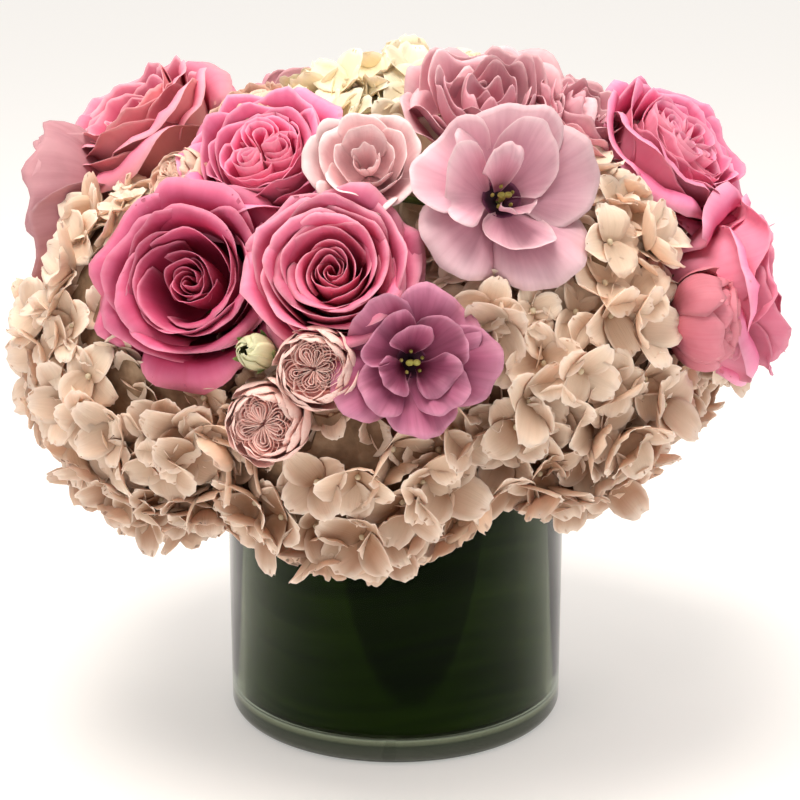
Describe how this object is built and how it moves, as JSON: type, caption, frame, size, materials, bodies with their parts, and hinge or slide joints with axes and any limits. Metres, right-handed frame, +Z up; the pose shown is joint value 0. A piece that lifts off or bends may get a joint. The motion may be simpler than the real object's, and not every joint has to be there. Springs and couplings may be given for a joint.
{
  "type": "flower arrangement in a glass cylinder vase",
  "caption": "Low round arrangement of pink roses, mauve lisianthus, spray roses and blush hydrangea in a leaf-lined glass cylinder vase.",
  "frame": {"origin": "centre of the vase's underside", "axes": "+Z up along the vase's axis, -Y towards the front of the arrangement, +X to its right as seen from the front"},
  "size_m": [0.3223, 0.3277, 0.3076],
  "materials": {
    "clear_glass": "gloss",
    "liner_leaf": "satin",
    "green_stem": "matte",
    "rose_petal": "matte",
    "lisianthus_petal": "matte",
    "spray_rose_petal": "matte",
    "closed_bud": "matte",
    "hydrangea_petal": "matte"
  },
  "bodies": {
    "root": {"vase": "clear_glass", "liner_leaf_outer": "liner_leaf", "liner_leaf_inner": "liner_leaf", "rose_front_left_stem": "green_stem", "rose_front_centre_stem": "green_stem", "rose_top_left_stem": "green_stem", "rose_far_left_stem": "green_stem", "rose_top_right_stem": "green_stem", "rose_far_right_stem": "green_stem", "rose_back_left_stem": "green_stem", "rose_back_right_stem": "green_stem", "lisianthus_front_stem": "green_stem", "lisianthus_right_stem": "green_stem", "lisianthus_top_stem": "green_stem", "lisianthus_far_left_stem": "green_stem", "lisianthus_back_stem": "green_stem", "spray_front_stem": "green_stem", "spray_right_stem": "green_stem", "spray_left_stem": "green_stem", "spray_back_stem": "green_stem", "hydrangea_front_stem": "green_stem", "hydrangea_right_stem": "green_stem", "hydrangea_left_stem": "green_stem", "hydrangea_back_right_stem": "green_stem", "hydrangea_back_left_stem": "green_stem", "hydrangea_back_stem": "green_stem", "hydrangea_top_stem": "green_stem", "rose_front_left_bloom": "rose_petal", "rose_front_centre_bloom": "rose_petal", "rose_top_left_bloom": "rose_petal", "rose_far_left_bloom": "rose_petal", "rose_top_right_bloom": "rose_petal", "rose_far_right_bloom": "rose_petal", "rose_back_left_bloom": "rose_petal", "rose_back_right_bloom": "rose_petal", "lisianthus_front_bloom": "lisianthus_petal", "lisianthus_right_bloom": "lisianthus_petal", "lisianthus_top_bloom_1": "lisianthus_petal", "lisianthus_top_bloom_2": "lisianthus_petal", "lisianthus_top_bloom_3": "lisianthus_petal", "lisianthus_far_left_bloom": "lisianthus_petal", "lisianthus_back_bloom_1": "lisianthus_petal", "lisianthus_back_bloom_2": "lisianthus_petal", "spray_front_bloom_1": "spray_rose_petal", "spray_front_bloom_2": "spray_rose_petal", "spray_front_bud": "closed_bud", "spray_right_bloom": "spray_rose_petal", "spray_left_bloom_1": "spray_rose_petal", "spray_left_bloom_2": "spray_rose_petal", "spray_back_bloom_1": "spray_rose_petal", "spray_back_bloom_2": "spray_rose_petal", "hydrangea_front_head": "hydrangea_petal", "hydrangea_right_head": "hydrangea_petal", "hydrangea_left_head": "hydrangea_petal", "hydrangea_back_right_head": "hydrangea_petal", "hydrangea_back_left_head": "hydrangea_petal", "hydrangea_back_head": "hydrangea_petal", "hydrangea_top_head": "hydrangea_petal"}
  },
  "joints": []
}
